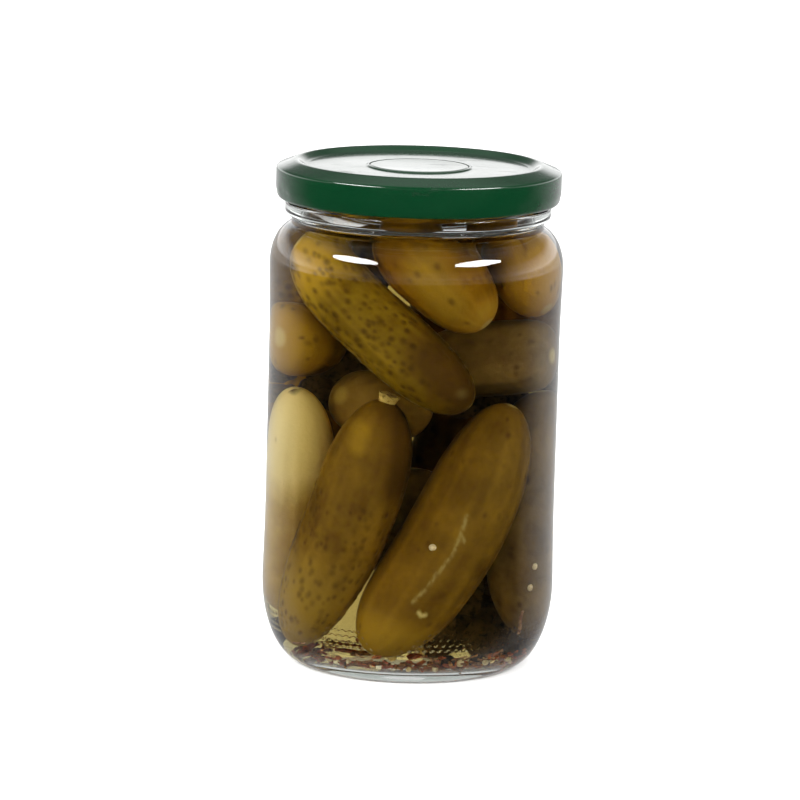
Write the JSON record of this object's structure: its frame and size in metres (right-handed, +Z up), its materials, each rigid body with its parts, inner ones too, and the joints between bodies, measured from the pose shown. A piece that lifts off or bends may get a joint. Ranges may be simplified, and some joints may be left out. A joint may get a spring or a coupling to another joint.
{
  "type": "mason jar",
  "caption": "Round clear glass preserving jar packed with gherkins in brine, closed by a green twist-off lug cap with a vacuum button.",
  "frame": {"origin": "centre of the foot, on the surface that the jar stands on", "axes": "+Z up along the jar's axis, +X to the right and +Y to the back as seen from the front, where the two long gherkins stand"},
  "size_m": [0.0876, 0.0876, 0.1511],
  "materials": {
    "jar_glass": "clear, slightly green where it is thick, fire-polished",
    "lid_lacquer": "dark green gloss lacquer on tinplate",
    "seal_compound": "cream flowed-in sealing compound, satin",
    "gherkin_golden": "wet olive-golden skin, bumpy, with darker spots",
    "gherkin_brown": "wet olive-brown skin, bumpy, with darker spots",
    "gherkin_pale": "wet pale yellow-green skin, smooth",
    "mustard_seed": "smooth cream-yellow seed coat",
    "peppercorn": "wrinkled near-black",
    "chili": "dry red-brown skin",
    "dry_stalk": "dry brown stalk",
    "brine": "clear yellow-brown liquid"
  },
  "bodies": {
    "jar": {"glass_jar": "jar_glass", "gherkin_leaning_over_front": "gherkin_golden", "gherkin_top_front": "gherkin_golden", "gherkin_top_right": "gherkin_golden", "gherkin_across_right": "gherkin_brown", "gherkin_across_left": "gherkin_golden", "gherkin_across_middle": "gherkin_brown", "gherkin_pale_left": "gherkin_pale", "gherkin_stemmed_front_left": "gherkin_brown", "gherkin_large_front_right": "gherkin_brown", "gherkin_right": "gherkin_brown", "gherkin_back_right": "gherkin_brown", "gherkin_back_left": "gherkin_brown", "gherkin_middle": "gherkin_brown", "gherkin_top_back_left": "gherkin_golden", "gherkin_top_back_right": "gherkin_brown", "mustard_seed_01": "mustard_seed", "mustard_seed_02": "mustard_seed", "mustard_seed_03": "mustard_seed", "mustard_seed_04": "mustard_seed", "mustard_seed_05": "mustard_seed", "mustard_seed_06": "mustard_seed", "mustard_seed_07": "mustard_seed", "mustard_seed_08": "mustard_seed", "mustard_seed_09": "mustard_seed", "mustard_seed_10": "mustard_seed", "mustard_seed_11": "mustard_seed", "mustard_seed_12": "mustard_seed", "peppercorn_01": "peppercorn", "peppercorn_02": "peppercorn", "peppercorn_03": "peppercorn", "peppercorn_04": "peppercorn", "chili_flake_01": "chili", "chili_flake_02": "chili", "chili_flake_03": "chili", "chili_flake_04": "chili", "chili_flake_05": "chili", "chili_flake_06": "chili", "dry_stalk_01": "dry_stalk", "dry_stalk_02": "dry_stalk", "dry_stalk_03": "dry_stalk", "dry_stalk_04": "dry_stalk", "brine": "brine"},
    "lid_lift": {"lid_seal": "seal_compound"},
    "lid": {"lid_shell": "lid_lacquer"},
    "button": {"vacuum_button": "lid_lacquer"}
  },
  "joints": [
    {"name": "lid_rise", "type": "slide", "parent": "jar", "child": "lid_lift", "axis": [0, 0, 1], "range_m": [0, 0.018]},
    {"name": "lid_turn", "type": "hinge", "parent": "lid_lift", "child": "lid", "pos_m": [0, 0, 0.145], "axis": [0, 0, 1], "range_deg": [0, 360]},
    {"name": "button_pop", "type": "slide", "parent": "lid", "child": "button", "axis": [0, 0, 1], "range_m": [0, 0.0009]}
  ],
  "couplings": [
    {"joint": "lid_rise", "follows": "lid_turn", "m_per_rad": 0.0028647}
  ]
}
